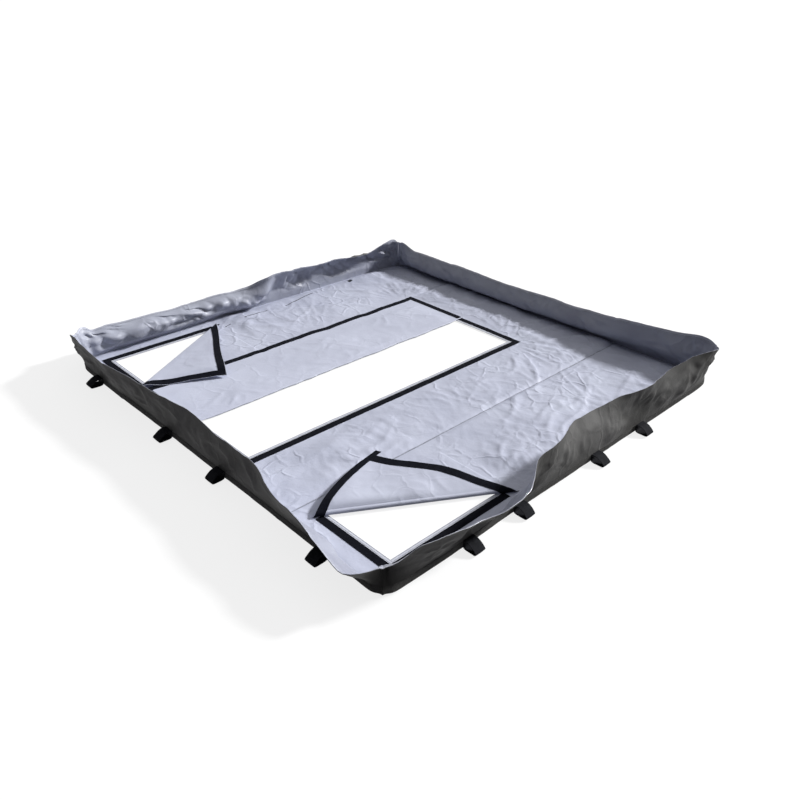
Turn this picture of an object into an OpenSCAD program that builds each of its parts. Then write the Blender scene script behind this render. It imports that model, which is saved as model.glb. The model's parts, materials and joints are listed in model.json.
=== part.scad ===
// Square fabric cover for a spa: a panel with three access openings, four skirts round it,
// and tape-closed flaps. It lies inside-up: the panel is on the ground and the skirts stand up.
// Origin: middle of the panel's underside. +Z up, +X right, +Y back.

/* [Panel and skirts] */
// Side of the square panel
panel_side = 2134; // [2000:2:2300]
// Height of the skirts above the ground
skirt_h = 200; // [150:5:260]
// Thickness of one ply of coated fabric
fabric = 2; // [1.6:0.1:2.4]
// Height of the folded hem along a skirt's rim
hem_h = 16; // [10:1:25]
// Thickness of that hem
hem_t = 1.5; // [1:0.1:2]
// Height of the webbing binding round the base of the skirts
binding_h = 25; // [15:1:30]

/* [Openings] */
// Distance from the panel's left edge to the openings
opening_inset = 141; // [120:1:160]
// Length of a corner opening, along X
corner_len = 571; // [520:1:600]
// Width of a corner opening, along Y
corner_w = 330; // [300:1:340]
// Distance from the panel's front or back edge to a corner opening
corner_inset = 115; // [110:1:130]
// Length of the centre opening, along X
centre_len = 1591; // [1400:1:1650]
// Front edge of the centre opening, measured from the middle
centre_front = -155; // [-200:1:-120]
// Back edge of the centre opening, measured from the middle
centre_back = 586; // [580:1:588]

/* [Flaps and tapes] */
// Width of the hook and loop tape
tape_w = 32; // [25:1:38]
// Thickness of one ply of tape
tape_t = 1.5; // [1:0.1:1.8]
// Plain strip between an opening's edge and its tape
tape_gap = 16; // [10:1:18]
// How far a flap reaches past an opening where it is sewn
seam_w = 16; // [12:1:18]
// How far a corner flap is peeled open, in degrees
peel = 174; // [150:1:176]
// Height of the rounded fold of a peeled corner flap
peel_fold_z = 14; // [12:0.5:18]

/* [Webbing loops] */
// Width of the webbing
webbing_w = 50; // [38:1:60]
// Thickness of the webbing
webbing_t = 2; // [1.6:0.1:2.4]
// Radius of a loop's round end
loop_r = 17; // [14:1:20]
// Distance from the seam to the middle of that round end
loop_reach = 44; // [40:1:50]
// Height of the seam that a loop hangs from
loop_z = 34; // [32:1:40]

/* [Hidden] */
$fn = 48;
eps = 0.01;
// clearance between plies that are on different bodies
ply_gap = 0.3;
half = panel_side / 2;
flap_margin = tape_gap + tape_w + 2;
// heights of the plies over the openings
hook_top = fabric + tape_t;
loop_bottom = hook_top + ply_gap;
flap_bottom = loop_bottom + tape_t;
flap_top = flap_bottom + fabric;
// openings
open_x = -half + opening_inset;
corner_x2 = open_x + corner_len;
corner_y1 = -half + corner_inset;
corner_y2 = corner_y1 + corner_w;
centre_x2 = open_x + centre_len;
// seams between the three widths of fabric
front_seam_y = -540;
back_seam_y = centre_back + seam_w;
// centre flap: its sewn edge, its free edge when closed, and the fold between its two halves
sewn_y = back_seam_y;
free_y = centre_front - flap_margin;
end_x1 = open_x - flap_margin;
end_x2 = centre_x2 + flap_margin;
edge_slack = 3;
fold_y = (sewn_y + free_y) / 2 - edge_slack / 2;
fold_gap = 0.5;
centre_fold_z = flap_top + 0.35;
// front corner flap, closed: its outline, and the fold from fold_a to fold_b
flap_x1 = open_x - flap_margin;
flap_x2 = corner_x2 + seam_w;
flap_y1 = corner_y1 - flap_margin;
flap_y2 = corner_y2 + seam_w;
fold_end = 17;
fold_a = [flap_x1, flap_y2];
fold_b = [flap_x2, flap_y1 + fold_end];
fold_angle = atan2(fold_b[1] - fold_a[1], fold_b[0] - fold_a[0]);
// where the tip of the back corner flap begins: it lies over the centre flap and gives way to it
tip_y = sewn_y + 10;
// webbing loops along each side, measured from its middle
side_loops = [-790, -190, 190, 790];
end_loops = [-686, -413, 66, 397];
loop_clear = 0.5;
outer_face = half + hem_t;

loop_gray = "#16181c";
inner_silver = "#c6cad8";
outer_gray = "#5f605f";

// A box from its lowest to its highest corner
module block(lo, hi) {
    translate(lo) cube(hi - lo);
}

// The same shape on the back half of the cover
module at_back() {
    mirror([0, 1, 0]) children();
}

// Panel: three widths of fabric sewn side by side

module corner_opening() {
    block([open_x, corner_y1, -fabric], [corner_x2, corner_y2, 2 * fabric]);
}

module panel_front() {
    color(inner_silver) difference() {
        block([-half, -half, 0], [half, front_seam_y, fabric]);
        corner_opening();
    }
}

module panel_centre() {
    color(inner_silver) difference() {
        block([-half, front_seam_y, 0], [half, back_seam_y, fabric]);
        block([open_x, centre_front, -fabric], [centre_x2, centre_back, 2 * fabric]);
    }
}

module panel_back() {
    color(inner_silver) difference() {
        block([-half, back_seam_y, 0], [half, half, fabric]);
        at_back() corner_opening();
    }
}

// Skirts: a strip of fabric on each side, with a folded hem and a webbing binding.
// Each is drawn on the right side and turned to its place.

module skirt_strip(length) {
    color(outer_gray) block([half - fabric, -length / 2, fabric], [half, length / 2, skirt_h - eps]);
}

module rim_hem_strip(length) {
    inner_face = half - fabric;
    color(outer_gray)
        block([inner_face - hem_t, -length / 2, skirt_h - hem_h], [inner_face, length / 2, skirt_h]);
}

module binding_strip(length) {
    color(loop_gray) block([half, -length / 2, fabric], [half + hem_t, length / 2, fabric + binding_h]);
}

long_side = panel_side;
short_side = panel_side - 2 * fabric;
hem_short_side = short_side - 2 * hem_t;

module skirt_left() {
    rotate(180) skirt_strip(long_side);
}

module skirt_right() {
    skirt_strip(long_side);
}

module skirt_front() {
    rotate(-90) skirt_strip(short_side);
}

module skirt_back() {
    rotate(90) skirt_strip(short_side);
}

module rim_hem_left() {
    rotate(180) rim_hem_strip(short_side);
}

module rim_hem_right() {
    rim_hem_strip(short_side);
}

module rim_hem_front() {
    rotate(-90) rim_hem_strip(hem_short_side);
}

module rim_hem_back() {
    rotate(90) rim_hem_strip(hem_short_side);
}

module base_binding_left() {
    rotate(180) binding_strip(long_side);
}

module base_binding_right() {
    binding_strip(long_side);
}

module base_binding_front() {
    rotate(-90) binding_strip(long_side);
}

module base_binding_back() {
    rotate(90) binding_strip(long_side);
}

// Centre opening: hook tape on the panel, and a flap in two halves

module tape(x1, y1, x2, y2, bottom) {
    color(loop_gray) block([x1, y1, bottom], [x2, y2, bottom + tape_t]);
}

tape_x1 = open_x - tape_gap - tape_w;
tape_x2 = open_x - tape_gap;
right_tape_x1 = centre_x2 + tape_gap;
right_tape_x2 = right_tape_x1 + tape_w;
long_tape_y1 = centre_front - tape_gap - tape_w;
long_tape_y2 = centre_front - tape_gap;

module centre_hook_tape_long() {
    tape(tape_x1, long_tape_y1, right_tape_x2, long_tape_y2, fabric);
}

module centre_hook_tape_left() {
    tape(tape_x1, long_tape_y2, tape_x2, centre_back, fabric);
}

module centre_hook_tape_right() {
    tape(right_tape_x1, long_tape_y2, right_tape_x2, centre_back, fabric);
}

// The turned-under edge that is stitched to the panel
module centre_flap_hem() {
    color(inner_silver) block([end_x1, centre_back + 1, fabric], [end_x2, sewn_y, flap_bottom - ply_gap]);
}

module centre_flap_sewn_half() {
    color(inner_silver) block([end_x1, fold_y, flap_bottom], [end_x2, sewn_y - fold_gap, flap_top]);
}

module centre_loop_tape_sewn_half() {
    for (x = [[tape_x1, tape_x2], [right_tape_x1, right_tape_x2]])
        tape(x[0], fold_y, x[1], centre_back, loop_bottom);
}

// The free half, drawn closed, folds back onto the sewn half
module folded_back() {
    translate([0, fold_y, centre_fold_z]) rotate([180, 0, 0]) translate([0, -fold_y, -centre_fold_z]) children();
}

module centre_flap_free_half() {
    folded_back()
        color(inner_silver) block([end_x1, free_y, flap_bottom], [end_x2, fold_y - fold_gap, flap_top]);
}

module centre_loop_tape_long() {
    folded_back() tape(tape_x1, long_tape_y1, right_tape_x2, long_tape_y2, loop_bottom);
}

module centre_loop_tape_free_half() {
    folded_back()
        for (x = [[tape_x1, tape_x2], [right_tape_x1, right_tape_x2]])
            tape(x[0], long_tape_y2, x[1], fold_y - fold_gap, loop_bottom);
}

// Corner openings: drawn at the front, and mirrored for the back

corner_tape_y1 = corner_y1 - tape_gap - tape_w;
corner_tape_y2 = corner_y1 - tape_gap;
short_tape_end = corner_y2 - 6;
long_tape_end = corner_x2 - tape_gap + 1;

module corner_tape_short(bottom) {
    tape(tape_x1, corner_tape_y1, tape_x2, short_tape_end, bottom);
}

module corner_tape_long(bottom) {
    tape(tape_x2, corner_tape_y1, long_tape_end, corner_tape_y2, bottom);
}

// The part of the flap that lies sewn on the panel, behind the fold
module corner_flap_sewn() {
    color(inner_silver) translate([0, 0, fabric]) linear_extrude(fabric)
        polygon([fold_a, fold_b, [flap_x2, flap_y2]]);
}

// The part in front of the fold, closed
module corner_flap_closed() {
    color(inner_silver) translate([0, 0, flap_bottom]) linear_extrude(fabric)
        polygon([fold_a, [flap_x1, flap_y1], [flap_x2, flap_y1], fold_b]);
}

// Turns closed pieces about the fold to where they lie peeled open
module peeled() {
    at = [fold_a[0], fold_a[1], peel_fold_z];
    translate(at) rotate(fold_angle) rotate([-peel, 0, 0]) rotate(-fold_angle) translate(-at) children();
}

module front_hook_tape_short() {
    corner_tape_short(fabric);
}

module front_hook_tape_long() {
    corner_tape_long(fabric);
}

module front_flap_sewn_part() {
    corner_flap_sewn();
}

module front_flap_peeled_part() {
    peeled() corner_flap_closed();
}

module front_loop_tape_short() {
    peeled() corner_tape_short(loop_bottom);
}

module front_loop_tape_long() {
    peeled() corner_tape_long(loop_bottom);
}

module back_hook_tape_short() {
    at_back() corner_tape_short(fabric);
}

module back_hook_tape_long() {
    at_back() corner_tape_long(fabric);
}

module back_flap_sewn_part() {
    at_back() corner_flap_sewn();
}

// Everything on the centre flap's side of tip_y
module tip_side() {
    block([-half, 0, 0], [half, tip_y, skirt_h]);
}

module back_flap_peeled_part() {
    difference() {
        at_back() peeled() corner_flap_closed();
        tip_side();
    }
}

module back_flap_tip() {
    intersection() {
        at_back() peeled() corner_flap_closed();
        tip_side();
    }
}

module back_loop_tape() {
    difference() {
        at_back() peeled() corner_tape_long(loop_bottom);
        tip_side();
    }
}

module back_loop_tape_tip() {
    intersection() {
        at_back() peeled() {
            corner_tape_long(loop_bottom);
            corner_tape_short(loop_bottom);
        }
        tip_side();
    }
}

// Webbing loops: a band folded double, seen from its edge as a drop with its point at the seam

module drop(r, point) {
    middle = [loop_reach, loop_r + ply_gap];
    away = norm(middle - point);
    lean = atan2(middle[1] - point[1], middle[0] - point[0]);
    half_angle = asin(r / away);
    tangent = sqrt(away * away - r * r);
    translate(middle) circle(r);
    translate(point) polygon([
        [0, 0],
        tangent * [cos(lean - half_angle), sin(lean - half_angle)],
        tangent * [cos(lean + half_angle), sin(lean + half_angle)]
    ]);
}

seam_point = [0, loop_z];
loop_axis = [loop_reach, loop_r + ply_gap] - seam_point;
inner_point = seam_point + loop_axis / norm(loop_axis) * webbing_t * norm(loop_axis) / loop_r;

module webbing_loop(along) {
    color(loop_gray)
        translate([outer_face + loop_clear, along, 0]) rotate([90, 0, 0])
            translate([0, 0, -webbing_w / 2]) linear_extrude(webbing_w) difference() {
                drop(loop_r, seam_point);
                drop(loop_r - webbing_t, inner_point);
            }
}

module loop_left(i) {
    rotate(180) webbing_loop(-side_loops[i]);
}

module loop_right(i) {
    webbing_loop(side_loops[i]);
}

module loop_front(i) {
    rotate(-90) webbing_loop(end_loops[i]);
}

module loop_back(i) {
    rotate(90) webbing_loop(-end_loops[i]);
}

panel_front();
panel_centre();
panel_back();
skirt_left();
skirt_right();
skirt_front();
skirt_back();
rim_hem_left();
rim_hem_right();
rim_hem_front();
rim_hem_back();
base_binding_left();
base_binding_right();
base_binding_front();
base_binding_back();
centre_hook_tape_long();
centre_hook_tape_left();
centre_hook_tape_right();
centre_flap_hem();
centre_flap_sewn_half();
centre_loop_tape_sewn_half();
centre_flap_free_half();
centre_loop_tape_long();
centre_loop_tape_free_half();
front_hook_tape_short();
front_hook_tape_long();
front_flap_sewn_part();
front_flap_peeled_part();
front_loop_tape_short();
front_loop_tape_long();
back_hook_tape_short();
back_hook_tape_long();
back_flap_sewn_part();
back_flap_peeled_part();
back_flap_tip();
back_loop_tape();
back_loop_tape_tip();
for (i = [0:len(side_loops) - 1]) {
    loop_left(i);
    loop_right(i);
    loop_front(i);
    loop_back(i);
}
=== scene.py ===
"""A square fabric spa cover, lying inside-up: the looks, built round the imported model.

Every cloth piece is a grid over its own flat cut. A surface function takes points of the flat cut, in
metres, to where they lie at rest; a tape, hem or seam is a narrower grid on the same surface, set off
along its normal. The flat coordinates are kept as UVs, so weave, stitches and ribs follow the cloth.
"""

import json
import math

import bpy
import numpy as np
from mathutils import Matrix, Vector


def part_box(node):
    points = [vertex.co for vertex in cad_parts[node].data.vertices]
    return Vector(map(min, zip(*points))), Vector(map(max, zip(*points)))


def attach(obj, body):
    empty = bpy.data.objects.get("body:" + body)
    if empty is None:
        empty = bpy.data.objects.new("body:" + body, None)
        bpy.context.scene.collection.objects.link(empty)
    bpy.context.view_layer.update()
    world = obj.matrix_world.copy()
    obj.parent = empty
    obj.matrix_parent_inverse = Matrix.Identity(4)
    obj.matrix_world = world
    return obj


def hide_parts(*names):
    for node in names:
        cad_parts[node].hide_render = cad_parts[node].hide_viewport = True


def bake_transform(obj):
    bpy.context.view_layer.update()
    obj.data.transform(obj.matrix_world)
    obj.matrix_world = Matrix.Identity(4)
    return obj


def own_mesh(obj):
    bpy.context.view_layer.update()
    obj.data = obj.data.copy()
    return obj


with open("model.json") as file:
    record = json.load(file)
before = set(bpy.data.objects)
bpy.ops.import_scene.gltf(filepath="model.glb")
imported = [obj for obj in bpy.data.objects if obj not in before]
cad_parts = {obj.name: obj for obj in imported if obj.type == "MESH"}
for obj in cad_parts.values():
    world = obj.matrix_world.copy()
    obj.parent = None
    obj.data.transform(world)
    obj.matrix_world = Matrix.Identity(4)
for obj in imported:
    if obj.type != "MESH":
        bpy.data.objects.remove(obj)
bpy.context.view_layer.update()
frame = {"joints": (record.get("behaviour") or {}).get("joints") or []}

# ---------------------------------------------------------------- sizes, from the frame

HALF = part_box("panel_front")[1].x
SKIRT_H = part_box("skirt_left")[1].z
SEAM_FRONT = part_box("panel_front")[1].y
SEAM_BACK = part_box("panel_back")[0].y
TAPE_GAP = 0.016
TAPE_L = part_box("centre_hook_tape_left")
TAPE_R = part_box("centre_hook_tape_right")
TAPE_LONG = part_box("centre_hook_tape_long")
OPEN_X = TAPE_L[1].x + TAPE_GAP
CENTRE_X2 = TAPE_R[0].x - TAPE_GAP
CENTRE_Y1 = TAPE_LONG[1].y + TAPE_GAP
CENTRE_Y2 = TAPE_L[1].y
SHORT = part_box("front_hook_tape_short")
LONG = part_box("front_hook_tape_long")
CORNER_Y1 = LONG[1].y + TAPE_GAP
CORNER_Y2 = SHORT[1].y + 0.006
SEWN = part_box("front_flap_sewn_part")
CORNER_X2 = SEWN[1].x - TAPE_GAP
FLAP_X1, FLAP_X2 = SEWN[0].x, SEWN[1].x
FLAP_Y1, FLAP_Y2 = SHORT[0].y - 0.002, SEWN[1].y
CENTRE_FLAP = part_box("centre_flap_sewn_half")
FREE_Y = TAPE_LONG[0].y - 0.002
JOINT = {j["name"]: j for j in frame["joints"]}
FOLD_Y, FOLD_Z = JOINT["centre_flap_unfold"]["pos_m"][1:]
PLY = 0.0009
# a loop tape's two edges, in from the edge of its cloth
TAPE_FROM, TAPE_TO = 0.002, 0.034
# how far a hem, binding or loop tape lies off its cloth, and its own thickness
TRIM_LIFT, TRIM_PLY = 0.0012, 0.0012
# grid steps
STEP, FINE = 0.009, 0.008


# ---------------------------------------------------------------- noise and folds

def smooth(t):
    t = np.clip(t, 0.0, 1.0)
    return t * t * (3 - 2 * t)


def lattice(ix, iy, seed):
    """A repeatable number from 0 to 1 for each lattice point."""
    n = ix.astype(np.int64) * 374761393 + iy.astype(np.int64) * 668265263 + seed * 974634777
    n = n.astype(np.uint64) & np.uint64(0xFFFFFFFF)
    n = ((n ^ (n >> np.uint64(13))) * np.uint64(1274126177)) & np.uint64(0xFFFFFFFF)
    return ((n ^ (n >> np.uint64(16))) & np.uint64(0xFFFFFF)).astype(float) / 0xFFFFFF


def noise(x, y, seed):
    """Smooth noise of about -0.7 to 0.7, with features one unit wide."""
    x, y = np.broadcast_arrays(np.asarray(x, float), np.asarray(y, float))
    ix, iy = np.floor(x), np.floor(y)
    fx, fy = x - ix, y - iy

    def corner(cx, cy):
        angle = 2 * math.pi * lattice(ix + cx, iy + cy, seed)
        return np.cos(angle) * (fx - cx) + np.sin(angle) * (fy - cy)

    u, v = smooth(fx), smooth(fy)
    low = corner(0, 0) * (1 - u) + corner(1, 0) * u
    high = corner(0, 1) * (1 - u) + corner(1, 1) * u
    return low * (1 - v) + high * v


def creases(x, y, seed, spacing, angle, reach=3.5, sharp=0.28):
    """Long soft folds from 0 to 1: crests on wavering lines about spacing apart, running at angle."""
    c, s = math.cos(angle), math.sin(angle)
    u = (c * x + s * y) / (spacing * reach)
    v = (-s * x + c * y) / spacing
    bent_u = u + 0.5 * noise(v * 0.6, u, seed + 1)
    bent_v = v + 1.1 * noise(u * 1.7, v * 0.5, seed + 2)
    crest = np.clip(1 - np.abs(noise(bent_u, bent_v, seed)) / sharp, 0, 1) ** 1.6
    patchy = smooth(0.45 + 1.5 * noise(u * 0.9 + 7.3, v * 0.3 + 3.1, seed + 3))
    return crest * patchy


def facets(x, y, size, seed):
    """Crumpled ground from 0 to 1: flat faces that meet at sharp crests, in two sizes."""
    u = x / size + 0.8 * noise(x / size / 1.7, y / size / 1.7, seed + 1)
    v = y / size + 0.8 * noise(x / size / 1.7, y / size / 1.7 + 9, seed + 2)
    coarse, fine = np.abs(noise(u, v, seed)), np.abs(noise(2.1 * u, 2.1 * v, seed + 3))
    return np.clip(1 - 1.5 * coarse - 0.7 * fine, 0, 1)


def fan(x, y, at, seed, spokes, reach):
    """Creases that run out from a point and die away over reach."""
    dx, dy = x - at[0], y - at[1]
    r = np.hypot(dx, dy)
    theta = np.arctan2(dy, dx)
    n = noise(theta * spokes / 2, 1.2 * r / reach + 0.4, seed)
    return np.clip(1 - np.abs(n) / 0.22, 0, 1) ** 1.5 * smooth(1.2 - r / reach) * smooth(r / 0.05)


def eased(points, at):
    """A smooth curve through (place, value) pairs, read at at."""
    places, values = np.array(points, float).T
    i = np.clip(np.searchsorted(places, at) - 1, 0, len(places) - 2)
    t = smooth((at - places[i]) / (places[i + 1] - places[i]))
    return values[i] * (1 - t) + values[i + 1] * t


# ---------------------------------------------------------------- grids and pieces

def lines(a, b, step=STEP, stops=()):
    """Grid lines from a to b about step apart, with one at each stop."""
    marks = sorted({a, b, *[s for s in stops if a < s < b]})
    out = [marks[0]]
    for lo, hi in zip(marks, marks[1:]):
        out += list(np.linspace(lo, hi, max(1, round((hi - lo) / step)) + 1)[1:])
    return np.array(out)


def rectangle(us, vs):
    return np.meshgrid(us, vs, indexing="ij")


def quad(corners, step=STEP):
    """A flat four-sided cut: corners (start, end, end, start) go along one edge and back the other."""
    p = np.array(corners, float)
    nu = max(2, round(max(np.hypot(*(p[1] - p[0])), np.hypot(*(p[2] - p[3]))) / step))
    nv = max(2, round(max(np.hypot(*(p[3] - p[0])), np.hypot(*(p[2] - p[1]))) / step))
    i, j = np.meshgrid(np.linspace(0, 1, nu + 1), np.linspace(0, 1, nv + 1), indexing="ij")
    i, j = i[..., None], j[..., None]
    flat = (p[0] * (1 - i) + p[1] * i) * (1 - j) + (p[3] * (1 - i) + p[2] * i) * j
    return flat[..., 0], flat[..., 1]


def normals_of(grid):
    n = np.cross(np.gradient(grid, axis=0), np.gradient(grid, axis=1))
    return n / np.maximum(np.linalg.norm(n, axis=2, keepdims=True), 1e-12)


def cloth(name, surface, cut, materials, keep=None, lift=0.0, thickness=PLY, along=None):
    """A piece of cloth. cut holds the flat coordinates u and v of its grid, surface takes them to where
    they lie, and keep(u, v) says which cells are cloth. The first material is on the side that u x v
    faces. along is the grid axis that a tape or hem runs on, whose UVs are then (along, across)."""
    u, v = cut
    grid = surface(u, v)
    u_down, v_down = np.diff(u, axis=0)[:, 1:], np.diff(v, axis=0)[:, 1:]
    u_over, v_over = np.diff(u, axis=1)[1:], np.diff(v, axis=1)[1:]
    turned = np.sum(u_down * v_over - u_over * v_down) < 0
    if lift:
        grid = grid + normals_of(grid) * (-lift if turned else lift)
    index = np.arange(u.size).reshape(u.shape)
    faces = np.stack([index[:-1, :-1], index[1:, :-1], index[1:, 1:], index[:-1, 1:]], axis=2).reshape(-1, 4)
    if keep is not None:
        faces = faces[keep((u[:-1, :-1] + u[1:, 1:]) / 2, (v[:-1, :-1] + v[1:, 1:]) / 2).ravel()]
    if along is None:
        uvs = np.stack([u, v], axis=2)
    else:
        flat = np.stack([u, v], axis=2)
        run = np.linalg.norm(np.diff(flat, axis=along), axis=2).cumsum(axis=along)
        run = np.concatenate([np.zeros_like(np.take(run, [0], axis=along)), run], axis=along)
        wide = np.linalg.norm(np.diff(flat, axis=1 - along), axis=2).cumsum(axis=1 - along)
        wide = np.concatenate([np.zeros_like(np.take(wide, [0], axis=1 - along)), wide], axis=1 - along)
        wide = wide - np.take(wide, [-1], axis=1 - along) / 2
        uvs = np.stack([run, wide], axis=2)
    if turned:
        faces = faces[:, ::-1]
    used, packed = np.unique(faces, return_inverse=True)
    faces = packed.reshape(-1, 4)
    mesh = bpy.data.meshes.new(name)
    mesh.from_pydata(grid.reshape(-1, 3)[used].tolist(), [], faces.tolist())
    mesh.polygons.foreach_set("use_smooth", np.ones(len(faces), bool))
    # sharp borders keep a ply's edge from bending the shading of its faces
    edge_of = np.empty(len(mesh.loops), int)
    mesh.loops.foreach_get("edge_index", edge_of)
    border = np.bincount(edge_of, minlength=len(mesh.edges)) == 1
    mesh.attributes.new("sharp_edge", "BOOLEAN", "EDGE").data.foreach_set("value", border)
    layer = mesh.uv_layers.new(name="flat")
    layer.data.foreach_set("uv", uvs.reshape(-1, 2)[used][faces.ravel()].astype(np.float32).ravel())
    for material in materials:
        mesh.materials.append(material)
    piece = bpy.data.objects.new(name, mesh)
    bpy.context.scene.collection.objects.link(piece)
    ply = piece.modifiers.new("ply", "SOLIDIFY")
    ply.thickness = thickness
    ply.offset = 0
    ply.material_offset = len(materials) - 1
    return piece


# ---------------------------------------------------------------- materials

class Nodes:
    """A short way to write a node tree."""

    def __init__(self, name):
        self.material = bpy.data.materials.new(name)
        self.material.use_nodes = True
        self.tree = self.material.node_tree
        self.shader = self.tree.nodes["Principled BSDF"]

    def add(self, kind, inputs=None, **settings):
        node = self.tree.nodes.new("ShaderNode" + kind)
        for key, value in settings.items():
            setattr(node, key, value)
        for key, value in (inputs or {}).items():
            self.set(node.inputs[key], value)
        return node

    def set(self, socket, value):
        if isinstance(value, bpy.types.NodeSocket):
            self.tree.links.new(value, socket)
        else:
            socket.default_value = value

    def math(self, operation, a, b=0.0, c=0.0):
        node = self.add("Math", operation=operation)
        for socket, value in zip(node.inputs, (a, b, c)):
            self.set(socket, value)
        return node.outputs[0]

    def ramp(self, factor, stops):
        node = self.add("ValToRGB", {"Fac": factor})
        while len(node.color_ramp.elements) < len(stops):
            node.color_ramp.elements.new(0.5)
        for element, (place, colour) in zip(node.color_ramp.elements, stops):
            element.position = place
            element.color = (*colour, 1.0)
        return node.outputs["Color"]

    def mix(self, factor, a, b, how="MIX"):
        node = self.add("Mix", data_type="RGBA", blend_type=how)
        for key, value in ((0, factor), (6, a), (7, b)):
            self.set(node.inputs[key], value)
        return node.outputs[2]

    def noise(self, vector, scale, detail=3.0, rough=0.5):
        return self.add("TexNoise", {"Vector": vector, "Scale": scale, "Detail": detail,
                                     "Roughness": rough}).outputs["Fac"]

    def bump(self, height):
        """Relief of that height, in metres, on the shader's normal."""
        node = self.add("Bump", {"Height": height, "Distance": 1.0, "Strength": 0.8})
        self.set(self.shader.inputs["Normal"], node.outputs[0])


def weave_of(n, uv, period):
    """The height of a plain weave of that period, from 0 to 1."""
    split = n.add("SeparateXYZ", {"Vector": uv})
    turn = 2 * math.pi / period
    warp = n.math("SINE", n.math("MULTIPLY", split.outputs[0], turn))
    weft = n.math("SINE", n.math("MULTIPLY", split.outputs[1], turn))
    return n.math("MULTIPLY_ADD", n.math("MULTIPLY", warp, weft), 0.5, 0.5)


def coated_fabric(name, light, mid, dark, roughness, coat, crinkle=1.0, specular=0.32):
    """Woven polyester with a coating: colour clouds, scuffs, small crinkles and a fine weave."""
    n = Nodes(name)
    place = n.add("TexCoord")
    uv, at = place.outputs["UV"], place.outputs["Object"]
    clouds = n.noise(at, 3.5, 4.0, 0.55)
    colour = n.ramp(clouds, [(0.30, dark), (0.50, mid), (0.72, light)])
    scuffs = n.noise(at, 55.0, 5.0, 0.7)
    colour = n.mix(n.math("MULTIPLY", scuffs, 0.16), colour, (*dark, 1.0))
    n.set(n.shader.inputs["Base Color"], colour)
    rough = n.math("MULTIPLY_ADD", n.noise(at, 14.0, 4.0, 0.6), 0.26, roughness - 0.13)
    n.set(n.shader.inputs["Roughness"], rough)
    n.shader.inputs["Coat Weight"].default_value = coat
    n.shader.inputs["Coat Roughness"].default_value = 0.22
    n.shader.inputs["Specular IOR Level"].default_value = specular
    # crinkles: thin ridges in patches, then soft dents, then the weave
    wobble = n.add("VectorMath", {0: n.add("TexNoise", {"Vector": at, "Scale": 7.0}).outputs["Color"],
                                  1: (0.10, 0.10, 0.10)}, operation="MULTIPLY")
    warped = n.add("VectorMath", {0: at, 1: wobble.outputs[0]}, operation="ADD").outputs[0]
    ridges = n.add("TexVoronoi", {"Vector": warped, "Scale": 11.0}, feature="DISTANCE_TO_EDGE")
    crest = n.math("MINIMUM", n.math("MULTIPLY", ridges.outputs["Distance"], 9.0), 1.0)
    crest = n.math("SUBTRACT", 1.0, crest)
    patch = n.ramp(n.noise(at, 4.0, 2.0), [(0.42, (0, 0, 0)), (0.60, (1, 1, 1))])
    height = n.math("MULTIPLY", n.math("MULTIPLY", crest, patch), 0.0020)
    height = n.math("ADD", height, n.math("MULTIPLY", n.noise(at, 16.0, 5.0, 0.62), 0.0030))
    bump = n.add("Bump", {"Height": height, "Distance": 1.0, "Strength": 0.75 * crinkle})
    fine = n.add("Bump", {"Height": weave_of(n, uv, 0.0016), "Distance": 0.00012, "Strength": 0.35,
                          "Normal": bump.outputs[0]})
    n.set(n.shader.inputs["Normal"], fine.outputs[0])
    return n.material


def stitched(name, fabric_light, fabric_dark, rows, pitch=0.0045):
    """Fabric with rows of stitches: v across the strip, in metres, and u along it."""
    n = Nodes(name)
    place = n.add("TexCoord")
    at = place.outputs["Object"]
    split = n.add("SeparateXYZ", {"Vector": place.outputs["UV"]})
    along, across = split.outputs[0], split.outputs[1]
    thread = None
    for row in rows:
        near = n.math("LESS_THAN", n.math("ABSOLUTE", n.math("SUBTRACT", across, row)), 0.0008)
        thread = near if thread is None else n.math("MAXIMUM", thread, near)
    dash = n.math("LESS_THAN", n.math("FRACT", n.math("DIVIDE", along, pitch)), 0.68)
    thread = n.math("MULTIPLY", thread, dash)
    base = n.ramp(n.noise(at, 18.0, 4.0), [(0.35, fabric_dark), (0.65, fabric_light)])
    n.set(n.shader.inputs["Base Color"], n.mix(thread, base, (0.06, 0.06, 0.07, 1.0)))
    n.shader.inputs["Roughness"].default_value = 0.45
    n.shader.inputs["Coat Weight"].default_value = 0.2
    grain = n.math("MULTIPLY", n.noise(at, 60.0, 3.0), 0.002)
    n.bump(n.math("ADD", n.math("MULTIPLY", thread, 0.0006), grain))
    return n.material


def webbing_material(name, colour, wear_and_crest_highlight, rib, roughness=0.75):
    """Ribbed black webbing or tape: ribs along its length, broken by the weft, lighter in worn patches, with
    a painted highlight on the rib crests and a slight sheen.
    """
    n = Nodes(name)
    place = n.add("TexCoord")
    at = place.outputs["Object"]
    split = n.add("SeparateXYZ", {"Vector": place.outputs["UV"]})
    ribs = n.math("SINE", n.math("MULTIPLY", split.outputs[1], 2 * math.pi / rib))
    weft = n.math("SINE", n.math("MULTIPLY", split.outputs[0], 2 * math.pi / (rib * 0.7)))
    height = n.math("MULTIPLY_ADD", n.math("MULTIPLY", ribs, weft), 0.5, 0.5)
    wear = n.noise(at, 60.0, 4.0, 0.65)
    base = n.ramp(wear, [(0.30, colour), (0.75, wear_and_crest_highlight)])
    # the rib crests are mixed towards the lighter tone: a painted highlight on the ribs
    n.set(n.shader.inputs["Base Color"], n.mix(n.math("MULTIPLY", height, 0.35), base, (*wear_and_crest_highlight, 1.0)))
    n.set(n.shader.inputs["Roughness"], n.math("MULTIPLY_ADD", wear, 0.2, roughness - 0.1))
    n.shader.inputs["Sheen Weight"].default_value = 0.01
    n.shader.inputs["Specular IOR Level"].default_value = 0.05
    n.shader.inputs["Sheen Roughness"].default_value = 0.5
    n.bump(n.math("ADD", n.math("MULTIPLY", height, 0.0005), n.math("MULTIPLY", wear, 0.001)))
    return n.material


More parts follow.
